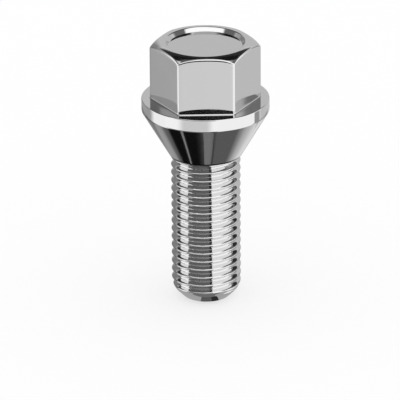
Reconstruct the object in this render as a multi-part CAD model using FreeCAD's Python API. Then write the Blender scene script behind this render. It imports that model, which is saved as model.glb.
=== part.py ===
import FreeCAD, Part
import math
import os

from FreeCAD import Placement, Rotation, Vector

# Wheel lug bolt: a hexagon head with a domed and dished crown, a collar, a
# conical seat and a metric thread. Millimetres. +Z runs up the axis from the
# flat tip (Z = 0) to the head, and one flat of the hexagon looks to -Y.

# Thread
thread_diameter = 12.0
thread_pitch = 1.5
thread_flank_angle = 60.0
crest_cut_share = 1.0 / 8.0
root_cut_share = 1.0 / 4.0
# Height at which the lowest full crest crosses the -Y side
front_crest_height = 3.72

# Shank with its rounded tip and the short neck between thread and seat
shank_length = 26.3
tip_flat_diameter = 8.1
tip_chamfer_angle = 45.0
tip_edge_radius = 0.3
tip_shoulder_radius = 3.0
neck_length = 0.5
neck_depth_below_root = 0.15
neck_fillet_radius = 0.15

# Conical seat
seat_cone_angle = 60.0
seat_small_diameter = 12.5

# Collar
collar_diameter = 22.0
collar_top_height = 36.65
collar_top_edge_radius = 0.15
collar_bottom_edge_radius = 0.6

# Hexagon
width_across_flats = 16.6
hexagon_corner_radius = 0.7
hexagon_foot_radius = 0.2

# Crown, with the dish sunk into it
crown_height = 46.9
crown_crest_diameter = 14.0
crown_corner_drop = 1.05
crown_edge_radius = 0.5
dish_mouth_diameter = 12.9
dish_depth = 0.6
dish_wall_tilt = 35.0
dish_rim_radius = 0.3
dish_floor_radius = 0.35

# How far trimming solids reach past what they trim, and how close two faces
# lie when they count as touching
trim_reach = 1.0
touching_distance = 1e-5

# Angles of the hexagon
corner_spacing = math.pi / 3
half_corner_spacing = corner_spacing / 2


def tan_degrees(angle):
    return math.tan(math.radians(angle))


def section_point(radius, height):
    return Vector(radius, 0, height)


def rounded_chain(corners):
    # Straight edges through (radius, height, rounding) corners, with a
    # tangent arc at each corner whose rounding is above zero.
    edges = []
    start = section_point(*corners[0][:2])
    for here, ahead in zip(corners[1:-1], corners[2:]):
        corner = section_point(*here[:2])
        rounding = here[2]
        if rounding > 0:
            to_start = (start - corner).normalize()
            to_ahead = (section_point(*ahead[:2]) - corner).normalize()
            half_opening = to_start.getAngle(to_ahead) / 2
            setback = rounding / math.tan(half_opening)
            bisector = (to_start + to_ahead).normalize()
            arc_start = corner + to_start * setback
            arc_middle = corner + bisector * (rounding / math.sin(half_opening) - rounding)
            arc_end = corner + to_ahead * setback
            edges.append(Part.makeLine(start, arc_start))
            edges.append(Part.Arc(arc_start, arc_middle, arc_end).toShape())
            start = arc_end
        else:
            edges.append(Part.makeLine(start, corner))
            start = corner
    edges.append(Part.makeLine(start, section_point(*corners[-1][:2])))
    return edges


def turned(edges):
    section = Part.Face(Part.Wire(edges))
    return section.revolve(Vector(0, 0, 0), Vector(0, 0, 1), 360)


# Shank, neck, seat and collar as one turned body
thread_radius = thread_diameter / 2
tip_flat_radius = tip_flat_diameter / 2
sharp_thread_height = thread_pitch / 2 / tan_degrees(thread_flank_angle / 2)
root_radius = thread_radius - sharp_thread_height * (1 - crest_cut_share - root_cut_share)
neck_radius = root_radius - neck_depth_below_root
neck_bottom = shank_length - neck_length
tip_chamfer_height = (thread_radius - tip_flat_radius) * tan_degrees(tip_chamfer_angle)
seat_small_radius = seat_small_diameter / 2
collar_radius = collar_diameter / 2
seat_height = (collar_radius - seat_small_radius) / tan_degrees(seat_cone_angle / 2)
seat_top = shank_length + seat_height

body = turned(
    rounded_chain(
        [
            (0, collar_top_height, 0),
            (0, 0, 0),
            (tip_flat_radius, 0, tip_edge_radius),
            (thread_radius, tip_chamfer_height, tip_shoulder_radius),
            (thread_radius, neck_bottom, 0),
            (neck_radius, neck_bottom, 0),
            (neck_radius, shank_length, neck_fillet_radius),
            (seat_small_radius, shank_length, 0),
            (collar_radius, seat_top, collar_bottom_edge_radius),
            (collar_radius, collar_top_height, collar_top_edge_radius),
            (0, collar_top_height, 0),
        ]
    )
)

# Right-handed helical groove, open at the tip and ending in the neck
groove_root_half = thread_pitch * root_cut_share / 2
groove_mouth_radius = thread_radius + sharp_thread_height * crest_cut_share / 2
groove_mouth_half = groove_root_half + (groove_mouth_radius - root_radius) * tan_degrees(
    thread_flank_angle / 2
)
turns_below_crest = math.ceil(front_crest_height / thread_pitch) + 1
groove_start = front_crest_height + thread_pitch / 2 - turns_below_crest * thread_pitch
helix = Part.makeHelix(thread_pitch, shank_length - groove_start, root_radius)
groove_section = Part.makePolygon(
    [
        section_point(root_radius, -groove_root_half),
        section_point(groove_mouth_radius, -groove_mouth_half),
        section_point(groove_mouth_radius, groove_mouth_half),
        section_point(root_radius, groove_root_half),
        section_point(root_radius, -groove_root_half),
    ]
)
groove = Part.Wire(helix).makePipeShell([groove_section], True, True)
groove.Placement = Placement(Vector(0, 0, groove_start), Rotation(Vector(0, 0, 1), -90))

threaded_span_bottom = groove_start - thread_pitch
threaded_span = Part.makeCylinder(
    thread_radius + trim_reach,
    neck_bottom + neck_length / 2 - threaded_span_bottom,
    Vector(0, 0, threaded_span_bottom),
)
groove = groove.common([threaded_span], touching_distance)
body = body.cut([groove], touching_distance)

# Crown: dish, rim and dome, turned about the axis
flat_half = width_across_flats / 2
corner_arc_center = (flat_half - hexagon_corner_radius) / math.cos(half_corner_spacing)
corner_reach = corner_arc_center + hexagon_corner_radius
corner_top_height = crown_height - crown_corner_drop
crest_radius = crown_crest_diameter / 2
dish_floor_height = crown_height - dish_depth
dish_mouth_radius = dish_mouth_diameter / 2
dish_foot_radius = dish_mouth_radius - dish_depth * tan_degrees(dish_wall_tilt)
dome_run = corner_reach - crest_radius
dome_radius = (dome_run**2 + crown_corner_drop**2) / (2 * crown_corner_drop)


def dome_point(run):
    drop = dome_radius - math.sqrt(dome_radius**2 - run**2)
    return section_point(crest_radius + run, crown_height - drop)


dome_outer_end = dome_point(dome_run + crown_edge_radius)
dome_arc = Part.Arc(section_point(crest_radius, crown_height), dome_point(dome_run), dome_outer_end)
crown = turned(
    rounded_chain(
        [
            (0, dish_floor_height, 0),
            (dish_foot_radius, dish_floor_height, dish_floor_radius),
            (dish_mouth_radius, crown_height, dish_rim_radius),
            (crest_radius, crown_height, 0),
        ]
    )
    + [dome_arc.toShape()]
    + rounded_chain(
        [
            (dome_outer_end.x, dome_outer_end.z, 0),
            (dome_outer_end.x, collar_top_height, 0),
            (0, collar_top_height, 0),
            (0, dish_floor_height, 0),
        ]
    )
)

# The line where the turned crown closes on itself stays clear of the corners
# and of the middle of each flat
crown.rotate(Vector(0, 0, 0), Vector(0, 0, 1), math.degrees(corner_spacing / 4))

# Hexagon prism with rounded upright edges, topped by the crown
sharp_corner_reach = flat_half / math.cos(half_corner_spacing)
hexagon_outline = Part.makePolygon(
    [
        Vector(
            sharp_corner_reach * math.cos(corner_spacing * index),
            sharp_corner_reach * math.sin(corner_spacing * index),
            collar_top_height,
        )
        for index in range(7)
    ]
)
prism_height = crown_height - collar_top_height + trim_reach
prism = Part.Face(hexagon_outline).extrude(Vector(0, 0, prism_height))
upright_edges = [
    edge
    for edge in prism.Edges
    if abs(edge.BoundBox.ZLength - prism_height) < touching_distance
]
prism = prism.makeFillet(hexagon_corner_radius, upright_edges)
head = prism.common(crown)


def on_hexagon_side(edge):
    middle = edge.valueAt((edge.FirstParameter + edge.LastParameter) / 2)
    return math.hypot(middle.x, middle.y) > flat_half - touching_distance


crown_edges = [
    edge
    for edge in head.Edges
    if on_hexagon_side(edge) and edge.BoundBox.ZMin > corner_top_height - crown_edge_radius
]
head = head.makeFillet(crown_edge_radius, crown_edges)

# The finished bolt, with a fillet round the foot of the hexagon
bolt = body.fuse(head)
foot_edges = [
    edge
    for edge in bolt.Edges
    if edge.BoundBox.ZLength < touching_distance
    and abs(edge.BoundBox.ZMin - collar_top_height) < touching_distance
    and math.hypot(*edge.valueAt(edge.FirstParameter)[:2]) < corner_reach + touching_distance
]
bolt = bolt.makeFillet(hexagon_foot_radius, foot_edges).Solids[0]

os.makedirs("parts", exist_ok=True)
bolt.exportStep("parts/lug_bolt.step")
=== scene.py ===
import math

import bmesh
import bpy
import numpy as np
from mathutils import Matrix, Vector


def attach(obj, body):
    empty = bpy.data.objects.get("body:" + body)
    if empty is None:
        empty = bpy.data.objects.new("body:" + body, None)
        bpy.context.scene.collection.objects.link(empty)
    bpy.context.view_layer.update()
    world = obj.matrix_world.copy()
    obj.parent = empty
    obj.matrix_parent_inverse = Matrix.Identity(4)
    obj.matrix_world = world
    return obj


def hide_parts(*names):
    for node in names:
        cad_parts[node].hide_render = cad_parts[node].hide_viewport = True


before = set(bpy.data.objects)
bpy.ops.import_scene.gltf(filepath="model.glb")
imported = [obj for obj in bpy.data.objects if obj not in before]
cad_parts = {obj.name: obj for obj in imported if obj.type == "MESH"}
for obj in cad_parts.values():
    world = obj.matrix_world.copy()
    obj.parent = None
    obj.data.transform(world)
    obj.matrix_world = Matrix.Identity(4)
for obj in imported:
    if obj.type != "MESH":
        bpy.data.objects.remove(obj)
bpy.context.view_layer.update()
print("frame loaded")

mm = 0.001
cornerStep = math.pi / 3  # from one corner of the hexagon to the next
halfStep = math.pi / 6


def smoothRamp(low, high, value):
    # 0 below low, 1 above high, with soft ends
    t = np.clip((value - low) / (high - low), 0, 1)
    return t * t * (3 - 2 * t)


# Hexagon, in millimetres like every size below
hexagon = {
    "acrossFlats": 16.6,
    "cornerRadius": 0.5,
    "footRadius": 0.2,
    "columnsPerFlat": 22,
    "columnsPerCorner": 6,
}


def cornerArc():
    # half the width across flats, where a corner's arc is centred, and the angle from the
    # middle of a flat to that arc
    flatHalf = hexagon["acrossFlats"] / 2
    centre = (flatHalf - hexagon["cornerRadius"]) / math.cos(halfStep)
    return flatHalf, centre, math.atan2(centre / 2, flatHalf)


def hexagonReach(angle):
    # distance from the axis to the side wall, for each angle round the axis
    flatHalf, centre, tangent = cornerArc()
    fromFlat = angle % cornerStep - halfStep  # corners lie at 0, 60, 120 degrees
    fromCorner = halfStep - np.abs(fromFlat)
    onCorner = centre * np.cos(fromCorner) + np.sqrt(
        np.maximum(hexagon["cornerRadius"] ** 2 - (centre * np.sin(fromCorner)) ** 2, 0)
    )
    return np.where(np.abs(fromFlat) > tangent, onCorner, flatHalf / np.cos(fromFlat))


def columnAngles():
    # one full turn of mesh columns, closer together on the rounded corners
    corner = halfStep - cornerArc()[2]
    side = np.concatenate([
        np.linspace(-corner, corner, hexagon["columnsPerCorner"], endpoint=False),
        np.linspace(corner, cornerStep - corner, hexagon["columnsPerFlat"], endpoint=False),
    ])
    return np.concatenate([side + step * cornerStep for step in range(6)])


angles = columnAngles()
columns = len(angles)


def ring(radius, height):
    # one closed row of points; radius and height may differ from column to column
    radius = np.broadcast_to(radius, angles.shape)
    height = np.broadcast_to(height, angles.shape)
    return np.stack([radius * np.cos(angles), radius * np.sin(angles), height], axis=1)


def roundedRows(corners, steps):
    # (radius, height, rounding) corners to a list of (radius, height) stations, with
    # that many steps on each rounding
    stations = [np.array(corners[0][:2], float)]
    for here, ahead in zip(corners[1:-1], corners[2:]):
        corner = np.array(here[:2], float)
        back = stations[-1] - corner
        forth = np.array(ahead[:2], float) - corner
        back /= np.linalg.norm(back)
        forth /= np.linalg.norm(forth)
        if here[2] <= 0:
            stations.append(corner)
            continue
        half = math.acos(np.clip(back @ forth, -1, 1)) / 2
        middle = back + forth
        middle /= np.linalg.norm(middle)
        centre = corner + middle * here[2] / math.sin(half)
        start = corner + back * here[2] / math.tan(half) - centre
        end = corner + forth * here[2] / math.tan(half) - centre
        turn = math.atan2(start[0] * end[1] - start[1] * end[0], start @ end)
        for step in range(steps):
            a = turn * step / (steps - 1)
            stations.append(centre + np.array([
                start[0] * math.cos(a) - start[1] * math.sin(a),
                start[0] * math.sin(a) + start[1] * math.cos(a),
            ]))
    stations.append(np.array(corners[-1][:2], float))
    return stations


# Threaded shank and tip
shank = {
    "threadDiameter": 12.0,
    "pitch": 1.5,
    "flankAngle": 60.0,
    "crestShare": 1 / 8,  # of the pitch, like the rows below
    "rootShare": 1 / 4,
    "crestToRootRows": [0, 0.045, 0.075, 0.11, 0.19, 0.27, 0.345, 0.385, 0.44],
    "edgeSoftness": 0.12,
    "frontCrestHeight": 3.72,
    "runOut": (1.3, 2.3),
    "roundingSteps": 13,
    "tipFlatDiameter": 8.1,
    "tipEdgeRadius": 0.3,
    "tipShoulderRadius": 3.0,
    "threadStart": 1.0,
    "neckBottom": 26.1,
    "neckRadius": 5.04,
    "neckFillet": 0.15,
    "length": 26.3,
}


def threadRadius(height, angle):
    # helical thread form with softly rounded crest and root
    pitch = shank["pitch"]
    crestLine = shank["frontCrestHeight"] + pitch * (angle + math.pi / 2) / (2 * math.pi)
    away = np.abs((height - crestLine + pitch / 2) % pitch - pitch / 2)
    slope = 1 / math.tan(math.radians(shank["flankAngle"] / 2))
    sink = (away - pitch * shank["crestShare"] / 2) * slope
    depth = pitch * slope / 2 * (1 - shank["crestShare"] - shank["rootShare"])
    soft = shank["edgeSoftness"]
    crest = -slope * pitch * shank["crestShare"] / 2

    def rounded(value):
        return soft * (np.logaddexp(0, value / soft) - np.logaddexp(0, (value - depth) / soft))

    fade = smoothRamp(*shank["runOut"], height)  # the groove fades out on the tip
    return threadHalf - (rounded(sink) - rounded(crest)) * fade


threadHalf = shank["threadDiameter"] / 2
tipHalf = shank["tipFlatDiameter"] / 2
tipStations = roundedRows([
    (0, 0, 0),
    (tipHalf, 0, shank["tipEdgeRadius"]),
    (threadHalf, threadHalf - tipHalf, shank["tipShoulderRadius"]),
    (threadHalf, shank["neckBottom"], 0),
], shank["roundingSteps"])


def tipEnvelope(height):
    # largest radius at each height; the flat end itself is left out
    outline = np.array(tipStations[2:])
    return np.interp(height, outline[:, 1], outline[:, 0])


def tipRows():
    # flat end, rounded edge and chamfer below the first thread
    start = shank["threadStart"]
    room = 0.05  # to the row where the thread starts
    rows = [ring(radius, height) for radius, height in tipStations if height < start - room]
    return rows + [ring(tipEnvelope(start), start)]


def threadRows():
    # rows follow the helix, so crest and root edges stay crisp; both ends are cut off level
    pitch = shank["pitch"]
    bottom, top = shank["threadStart"], shank["neckBottom"]
    half = shank["crestToRootRows"]
    shares = half + [0.5] + [1 - share for share in half[:0:-1]]
    lean = pitch * (angles + math.pi / 2) / (2 * math.pi)
    firstTurn = math.floor((bottom - shank["frontCrestHeight"] - lean.max()) / pitch) - 1
    lastTurn = math.ceil((top - shank["frontCrestHeight"] - lean.min()) / pitch) + 2
    rows = []
    for turn in range(firstTurn, lastTurn):
        for share in shares:
            height = shank["frontCrestHeight"] + pitch * (turn + share) + lean
            height = np.clip(height, bottom, top)
            radius = np.minimum(threadRadius(height, angles), tipEnvelope(height))
            rows.append(ring(radius, height))
    return rows, len(shares)


# Neck, conical seat and collar
seat = {
    "coneAngle": 60.0,
    "smallDiameter": 12.5,
    "collarDiameter": 22.0,
    "collarTop": 36.65,
    "topEdgeRadius": 0.15,
    "bottomEdgeRadius": 0.6,
    "smallEndRadius": 0.5,
    "roundingSteps": 7,
}


def seatRows():
    # neck, cone and collar, up to the fillet at the foot of the hexagon
    top, small, large = seat["collarTop"], seat["smallDiameter"] / 2, seat["collarDiameter"] / 2
    coneTop = shank["length"] + (large - small) / math.tan(math.radians(seat["coneAngle"] / 2))
    stations = roundedRows([
        (shank["neckRadius"], shank["neckBottom"], 0),
        (shank["neckRadius"], shank["length"], shank["neckFillet"]),
        (small, shank["length"], seat["smallEndRadius"]),
        (large, coneTop, seat["bottomEdgeRadius"]),
        (large, top, seat["topEdgeRadius"]),
        (hexagonReach(0) + hexagon["footRadius"], top, 0),
    ], seat["roundingSteps"])
    rows = [ring(threadRadius(shank["neckBottom"], angles), shank["neckBottom"])]
    return rows + [ring(radius, height) for radius, height in stations[:-1]]


# Head above the collar: foot fillet, flats, rounded crown edge, dome and dish
crown = {
    "height": 46.9,
    "crestDiameter": 14.0,
    "cornerDrop": 1.05,
    "edgeRadius": 0.5,
    "dishMouthDiameter": 13.7,
    "dishDepth": 0.7,
    "dishWallTilt": 35.0,
    "dishRimRadius": 0.25,
    "dishFloorRadius": 0.05,
    "edgeSteps": 8,
    "domeSteps": 14,
    "roundingSteps": 9,
    "flatRows": (0.04, 0.5, 0.96),  # shares of a flat's height
    "floorRings": (0.6, 0.25),  # shares of the dish floor's radius
}


def headRows():
    reach = hexagonReach(angles)
    top, foot, edge = seat["collarTop"], hexagon["footRadius"], crown["edgeRadius"]
    crest = crown["crestDiameter"] / 2
    run = hexagonReach(np.array([0.0]))[0] - crest
    domeRadius = (run**2 + crown["cornerDrop"] ** 2) / (2 * crown["cornerDrop"])
    domeCentre = crown["height"] - domeRadius
    rows = []
    for a in np.linspace(0, math.pi / 2, crown["edgeSteps"]):
        rows.append(ring(reach + foot * (1 - math.sin(a)), top + foot * (1 - math.cos(a))))
    # the edge between flats and dome rolls round a centre inside both
    edgeRadius = reach - edge
    edgeHeight = domeCentre + np.sqrt((domeRadius - edge) ** 2 - (edgeRadius - crest) ** 2)
    domeTilt = np.arctan2(edgeRadius - crest, edgeHeight - domeCentre)
    footTop = top + foot
    for share in crown["flatRows"]:
        rows.append(ring(reach, footTop + (edgeHeight - footTop) * share))
    for share in np.linspace(0, 1, crown["edgeSteps"]):
        a = (math.pi / 2 - domeTilt) * share
        rows.append(ring(edgeRadius + edge * np.cos(a), edgeHeight + edge * np.sin(a)))
    for share in np.linspace(1, 0, crown["domeSteps"])[1:]:
        a = domeTilt * share
        rows.append(ring(crest + domeRadius * np.sin(a), domeCentre + domeRadius * np.cos(a)))
    floorHeight = crown["height"] - crown["dishDepth"]
    mouth = crown["dishMouthDiameter"] / 2
    wallFoot = mouth - crown["dishDepth"] * math.tan(math.radians(crown["dishWallTilt"]))
    dish = roundedRows([
        (crest, crown["height"], 0),
        (mouth, crown["height"], crown["dishRimRadius"]),
        (wallFoot, floorHeight, crown["dishFloorRadius"]),
        *((wallFoot * share, floorHeight, 0) for share in crown["floorRings"]),
        (0, floorHeight, 0),
    ], crown["roundingSteps"])
    return rows + [ring(radius, height) for radius, height in dish[1:]]


def addRows(points, faces, rows, turnStep=0):
    # quads between neighbouring rows; turnStep rows make one turn of a helix
    first = len(points)
    for row in rows:
        points.extend(row)
    for line in range(len(rows) - 1 - turnStep):
        for column in range(columns):
            here = first + line * columns + column
            if column < columns - 1:
                ahead = here + 1
            else:
                ahead = first + (line + turnStep) * columns
            faces.append((here, ahead, ahead + columns, here + columns))


def buildBolt():
    points, faces = [], []
    addRows(points, faces, tipRows())
    thread, turnStep = threadRows()
    addRows(points, faces, thread, turnStep)
    addRows(points, faces, seatRows() + headRows())
    shape = bmesh.new()
    corners = [shape.verts.new(point * mm) for point in np.array(points)]
    for face in faces:
        shape.faces.new([corners[index] for index in face])
    weld = 0.0005 * mm  # closer points become one
    bmesh.ops.remove_doubles(shape, verts=shape.verts, dist=weld)
    bmesh.ops.dissolve_degenerate(shape, edges=shape.edges, dist=weld)
    bmesh.ops.recalc_face_normals(shape, faces=shape.faces)
    for face in shape.faces:
        face.smooth = True
    print("open edges", sum(1 for edge in shape.edges if not edge.is_manifold))
    mesh = bpy.data.meshes.new("boltBody")
    shape.to_mesh(mesh)
    shape.free()
    bolt = bpy.data.objects.new("boltBody", mesh)
    bpy.context.collection.objects.link(bolt)
    weighting = bolt.modifiers.new("steadyNormals", "WEIGHTED_NORMAL")
    weighting.weight = 100  # the largest faces lead, so flats stay flat
    weighting.keep_sharp = False
    return bolt


# Chrome plating, with painted shade: a dark ring in the colour over the undercut between thread
# and seat, where the recess lies in shadow
plating = {
    "brightness": 0.80,
    "blueGain": 1.005,
    # colour of the painted shade over the undercut
    "undercutPaintedShade": 0.03,
    "undercut": (26.31, 26.74),  # heights
    "undercutBlend": 0.06,
    "roughness": (0.055, 0.1),
    "smearScale": 130.0,
    "smearDetail": 4.0,
    "smearRange": (0.35, 0.7),
    "waveScale": 260.0,
    "waveDetail": 3.0,
    "waveHeight": 0.004,
}


def chromePlating():
    material = bpy.data.materials.new("chromePlate")
    material.use_nodes = True
    nodes, links = material.node_tree.nodes, material.node_tree.links
    shader = nodes["Principled BSDF"]
    shader.inputs["Metallic"].default_value = 1.0
    place = nodes.new("ShaderNodeTexCoord")

    def ramp(value, low, high, start=0.0, end=1.0):
        node = nodes.new("ShaderNodeMapRange")
        node.interpolation_type = "SMOOTHSTEP"
        links.new(value, node.inputs["Value"])
        sockets = ("From Min", "From Max", "To Min", "To Max")
        for socket, number in zip(sockets, (low, high, start, end)):
            node.inputs[socket].default_value = number
        return node.outputs[0]

    # painted shade: the colour turns dark over the undercut, for the shadow in that recess
    split = nodes.new("ShaderNodeSeparateXYZ")
    links.new(place.outputs["Object"], split.inputs[0])
    low, high = (height * mm for height in plating["undercut"])
    blend = plating["undercutBlend"] * mm
    paintedShadeBand = nodes.new("ShaderNodeMath")
    paintedShadeBand.operation = "MULTIPLY"
    links.new(ramp(split.outputs[2], low - blend, low + blend), paintedShadeBand.inputs[0])
    links.new(ramp(split.outputs[2], high - blend, high + blend, 1.0, 0.0), paintedShadeBand.inputs[1])
    colour = nodes.new("ShaderNodeMix")
    colour.data_type = "RGBA"
    links.new(paintedShadeBand.outputs[0], colour.inputs["Factor"])
    bright, dark = plating["brightness"], plating["undercutPaintedShade"]
    colour.inputs["A"].default_value = (bright, bright, bright * plating["blueGain"], 1)
    colour.inputs["B"].default_value = (dark, dark, dark, 1)
    links.new(colour.outputs["Result"], shader.inputs["Base Color"])

    # faint smears of handling
    smears = nodes.new("ShaderNodeTexNoise")
    smears.inputs["Scale"].default_value = plating["smearScale"]
    smears.inputs["Detail"].default_value = plating["smearDetail"]
    links.new(place.outputs["Object"], smears.inputs["Vector"])
    roughness = ramp(smears.outputs["Fac"], *plating["smearRange"], *plating["roughness"])
    links.new(roughness, shader.inputs["Roughness"])

    # faint waves that forging leaves under the plating
    waves = nodes.new("ShaderNodeTexNoise")
    waves.inputs["Scale"].default_value = plating["waveScale"]
    waves.inputs["Detail"].default_value = plating["waveDetail"]
    bump = nodes.new("ShaderNodeBump")
    bump.inputs["Strength"].default_value = 1.0
    bump.inputs["Distance"].default_value = plating["waveHeight"] * mm
    links.new(place.outputs["Object"], waves.inputs["Vector"])
    links.new(waves.outputs["Fac"], bump.inputs["Height"])
    links.new(bump.outputs["Normal"], shader.inputs["Normal"])
    return material


bolt = buildBolt()
bolt.data.materials.append(chromePlating())
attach(bolt, "root")
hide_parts("lug_bolt")
print("bolt built,", len(bolt.data.polygons), "faces")


# Studio far around the bolt, for what polished metal reflects. Azimuth is 0 towards
# -Y and grows towards +X, elevation grows upwards, both in degrees. A level is the
# value 0..255 that plating shows on screen. A later panel covers an earlier one.
studio = {
    "base": 240,
    "panels": [
        # name, azimuth, half width, elevation, half height, level, softness of its edge
        ("backCeiling", 180, 62, 57, 16, 20, 5),
        ("upperBack", 180, 60, 38, 9, 40, 2),
        ("leftUpper", -97, 27, 42, 17, 96, 5),
        ("rightUpper", 96, 26, 44, 20, 98, 5),
        ("backWall", 180, 66, 9, 20, 180, 4),
        ("leftWall", -140, 26, 9, 20, 122, 6),
        ("leftPost", -120, 9, 22, 8, 150, 4),
        ("zenith", 0, 360, 90, 7, 80, 3),
        ("leftZenith", -95, 70, 75, 12, 88, 4),
        ("rightZenith", 88, 78, 84, 14, 232, 3),
        ("backZenith", 180, 75, 81, 9, 176, 4),
        ("frontSoftbox", 0, 66, 56, 13, 253, 3),
        ("darkFlag", -21, 38, 18, 22, 22, 2),
        ("greyFlag", -21, 38, 36, 8, 88, 2),
        ("frontGrey", -20, 27, -20, 14, 198, 8),
        ("rightDim", 104, 10, -22, 12, 140, 3),
        ("rightBack", 150, 36, -22, 12, 183, 5),
        ("rightBackLow", 150, 34, -42, 10, 206, 5),
        ("leftBack", -150, 37, -28, 20, 149, 9),
        ("belowFront", 5, 62, -72, 22, 132, 14),
        ("belowBack", 176, 22, -72, 16, 92, 5),
        ("belowRight", 95, 72, -80, 29, 84, 12),
        ("belowLeftBack", -153, 30, -58, 13, 100, 9),
        ("belowLeft", -85, 56, -80, 27, 14, 5),
        ("belowLeftFront", -45, 28, -86, 6, 42, 2),
        ("nadir", 20, 36, -86, 7, 108, 3),
        ("stripeRight", 72, 22, -80.3, 1.5, 22, 1),
        ("stripeLeft", -106, 15, -68.5, 0.8, 130, 0.8),
    ],
}


def screenLevel(level):
    # screen value 0..255 to light, made up for what the plating swallows
    share = level / 255
    light = share / 12.92 if share <= 0.04045 else ((share + 0.055) / 1.055) ** 2.4
    return light / plating["brightness"]


def buildStudio():
    world = bpy.data.worlds.new("studio")
    bpy.context.scene.world = world
    world.use_nodes = True
    nodes, links = world.node_tree.nodes, world.node_tree.links
    nodes.clear()

    def calculate(operation, first, second=None):
        node = nodes.new("ShaderNodeMath")
        node.operation = operation
        for socket, value in zip(node.inputs, (first, second)):
            if isinstance(value, (int, float)):
                socket.default_value = value
            elif value is not None:
                links.new(value, socket)
        return node.outputs[0]

    def inside(distance, half, soft):
        # 1 within half of the middle, falling to 0 over soft, all in degrees
        node = nodes.new("ShaderNodeMapRange")
        node.interpolation_type = "SMOOTHSTEP"
        links.new(distance, node.inputs["Value"])
        node.inputs["From Min"].default_value = math.radians(half - soft)
        node.inputs["From Max"].default_value = math.radians(half + soft)
        node.inputs["To Min"].default_value = 1
        node.inputs["To Max"].default_value = 0
        return node.outputs[0]

    place = nodes.new("ShaderNodeTexCoord")
    split = nodes.new("ShaderNodeSeparateXYZ")
    links.new(place.outputs["Generated"], split.inputs[0])
    x, y, z = split.outputs
    azimuth = calculate("ARCTAN2", x, calculate("MULTIPLY", y, -1))
    elevation = calculate("ARCSINE", z)
    tone = screenLevel(studio["base"])
    for name, turn, halfWidth, height, halfHeight, level, soft in studio["panels"]:
        aside = calculate("SUBTRACT", azimuth, math.radians(turn))
        across = calculate("ARCCOSINE", calculate("COSINE", aside))
        upDown = calculate("ABSOLUTE", calculate("SUBTRACT", elevation, math.radians(height)))
        mask = inside(upDown, halfHeight, soft)
        if halfWidth < 180:  # otherwise it goes all the way round
            mask = calculate("MULTIPLY", mask, inside(across, halfWidth, soft))
        mix = nodes.new("ShaderNodeMix")
        mix.label = name
        links.new(mask, mix.inputs["Factor"])
        if isinstance(tone, float):
            mix.inputs["A"].default_value = tone
        else:
            links.new(tone, mix.inputs["A"])
        mix.inputs["B"].default_value = screenLevel(level)
        tone = mix.outputs["Result"]
    rays = nodes.new("ShaderNodeLightPath")
    choose = nodes.new("ShaderNodeMix")
    links.new(rays.outputs["Is Glossy Ray"], choose.inputs["Factor"])
    choose.inputs["A"].default_value = 1.0  # white for the camera and for the floor's light
    links.new(tone, choose.inputs["B"])
    background = nodes.new("ShaderNodeBackground")
    output = nodes.new("ShaderNodeOutputWorld")
    links.new(choose.outputs["Result"], background.inputs["Color"])
    links.new(background.outputs[0], output.inputs["Surface"])


buildStudio()
print("studio built")


# Upright panels near the bolt, for the thread and the foot of the hexagon. They are
# bent round the axis, and only reflections see them.
panelSteps = 24
nearPanels = [
    # name, azimuth from, to, distance from the axis, bottom, top, level
    ("threadShade", -66, 9, 24, -12, 24, 99),
    ("threadDark", 9, 17.5, 24, -12, 24, 46),
    ("threadLightLeft", -92, -69, 40, 0, 50, 236),
    ("threadLightRight", 18.5, 86, 40, 0, 50, 238),
    ("threadDarkLeft", -123, -107, 40, 0, 21, 36),
    ("threadDimLeft", -152, -123, 40, 0, 21, 118),
    ("threadDimRight", 96, 134, 40, 0, 21, 142),
    ("footDimLeft", -130, -110, 40, 49.8, 54, 100),
    ("footDimRight", 110, 130, 40, 47, 53.5, 112),
]


# Small level sheets under the tip, for its chamfer: they stand in for the floor as reflections
# see it, and the darker ones are painted shadow of the bolt on that floor
tipSheets = [
    # name, left, right, front, back, height, level
    ("underTip", -6.2, 6.2, -6.2, 6.2, -0.6, 156),
    ("underTipFront", -4, 2, -8, -5.3, -0.5, 104),
    ("underTipShade", -1.2, 2.2, -5.3, 2, -0.5, 84),
    ("underTipDark", 0.9, 2.2, -5.3, 2, -0.4, 42),
]


def glowSheet(name, points, faces, level):
    # a plain glowing sheet that only reflections see
    mesh = bpy.data.meshes.new(name)
    mesh.from_pydata([(x * mm, y * mm, z * mm) for x, y, z in points], [], faces)
    sheet = bpy.data.objects.new(name, mesh)
    bpy.context.collection.objects.link(sheet)
    material = bpy.data.materials.new(name)
    material.use_nodes = True
    material.cycles.emission_sampling = "NONE"
    nodes, links = material.node_tree.nodes, material.node_tree.links
    nodes.clear()
    glow = nodes.new("ShaderNodeEmission")
    glow.inputs["Color"].default_value = (screenLevel(level),) * 3 + (1,)
    glow.inputs["Strength"].default_value = 1.0
    output = nodes.new("ShaderNodeOutputMaterial")
    links.new(glow.outputs[0], output.inputs["Surface"])
    mesh.materials.append(material)
    sheet.visible_camera = False
    sheet.visible_diffuse = False
    sheet.visible_shadow = False
    sheet.visible_transmission = False


for name, start, end, distance, bottom, top, level in nearPanels:
    turns = np.radians(np.linspace(start, end, panelSteps + 1)).tolist()
    bars = [(distance * math.sin(a), -distance * math.cos(a)) for a in turns]
    points = [(x, y, height) for height in (bottom, top) for x, y in bars]
    above = panelSteps + 1  # from a point to the one over it
    faces = [(i, i + 1, i + 1 + above, i + above) for i in range(panelSteps)]
    glowSheet(name, points, faces, level)
for name, left, right, front, back, height, level in tipSheets:
    outline = [(left, front), (right, front), (right, back), (left, back)]
    glowSheet(name, [(x, y, height) for x, y in outline], [(0, 1, 2, 3)], level)
print("near panels built")


# Pale floor, in metres, just under the tip
table = {"size": 6.0, "tone": 0.99, "drop": 0.00002, "plainWhite": 0.6}


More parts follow.
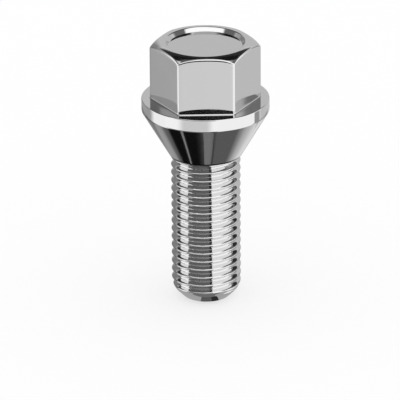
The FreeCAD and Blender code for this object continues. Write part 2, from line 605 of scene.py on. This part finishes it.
def buildTable():
    half = table["size"] / 2
    mesh = bpy.data.meshes.new("tabletop")
    corners = [(-half, -half, 0), (half, -half, 0), (half, half, 0), (-half, half, 0)]
    mesh.from_pydata(corners, [], [(0, 1, 2, 3)])
    tabletop = bpy.data.objects.new("tabletop", mesh)
    tabletop.location.z = -table["drop"]
    bpy.context.collection.objects.link(tabletop)
    material = bpy.data.materials.new("paleTable")
    material.use_nodes = True
    nodes, links = material.node_tree.nodes, material.node_tree.links
    shader = nodes["Principled BSDF"]
    shader.inputs["Base Color"].default_value = (table["tone"],) * 3 + (1,)
    shader.inputs["Roughness"].default_value = 1.0
    shader.inputs["Specular IOR Level"].default_value = 0.0
    # the camera sees part plain white, so the shadow stays but is faint
    rays = nodes.new("ShaderNodeLightPath")
    share = nodes.new("ShaderNodeMath")
    share.operation = "MULTIPLY"
    share.inputs[1].default_value = table["plainWhite"]
    white = nodes.new("ShaderNodeEmission")
    blend = nodes.new("ShaderNodeMixShader")
    links.new(rays.outputs["Is Camera Ray"], share.inputs[0])
    links.new(share.outputs[0], blend.inputs["Fac"])
    links.new(shader.outputs[0], blend.inputs[1])
    links.new(white.outputs[0], blend.inputs[2])
    links.new(blend.outputs[0], nodes["Material Output"].inputs["Surface"])
    mesh.materials.append(material)
    tabletop.visible_glossy = False
    return tabletop


buildTable()

# Camera, at the photograph's angle
camera = {
    "sensorWidth": 36,
    "clip": (0.05, 20),
    "distance": 1.0,
    "elevation": 22.47,
    "turn": -1.2,
    "roll": -0.338,
    "aimHeight": 24.0,
    "imageSize": 400,
    "pixelsPerMillimetre": 5.8,
    "aimPixel": (205.3, 164.45),
}


def placeCamera():
    data = bpy.data.cameras.new("photoCamera")
    cameraObject = bpy.data.objects.new("photoCamera", data)
    bpy.context.collection.objects.link(cameraObject)
    bpy.context.scene.camera = cameraObject
    seen = camera["imageSize"] / camera["pixelsPerMillimetre"] * mm
    data.sensor_width = camera["sensorWidth"]
    data.lens = data.sensor_width * camera["distance"] / seen
    data.clip_start, data.clip_end = camera["clip"]
    elevation, turn = math.radians(camera["elevation"]), math.radians(camera["turn"])
    back = Vector((
        math.sin(turn) * math.cos(elevation),
        -math.cos(turn) * math.cos(elevation),
        math.sin(elevation),
    ))
    right = Vector((math.cos(turn), math.sin(turn), 0))
    up = back.cross(right)
    roll = math.radians(camera["roll"])
    right, up = (
        right * math.cos(roll) + up * math.sin(roll),
        up * math.cos(roll) - right * math.sin(roll),
    )
    aim = Vector((0, 0, camera["aimHeight"] * mm))
    position = aim + back * camera["distance"]
    # the aim point falls beside the middle of the picture, so the camera looks past it
    middle = (camera["imageSize"] - 1) / 2
    offRight = (camera["aimPixel"][0] - middle) / camera["pixelsPerMillimetre"] * mm
    offDown = (camera["aimPixel"][1] - middle) / camera["pixelsPerMillimetre"] * mm
    lookAt = aim - right * offRight + up * offDown
    back = (position - lookAt).normalized()
    right = up.cross(back).normalized()
    up = back.cross(right)
    turnMatrix = Matrix((right, up, back)).transposed().to_4x4()
    cameraObject.matrix_world = Matrix.Translation(position) @ turnMatrix


placeCamera()
bpy.context.scene.view_settings.view_transform = "Standard"
print("camera placed")
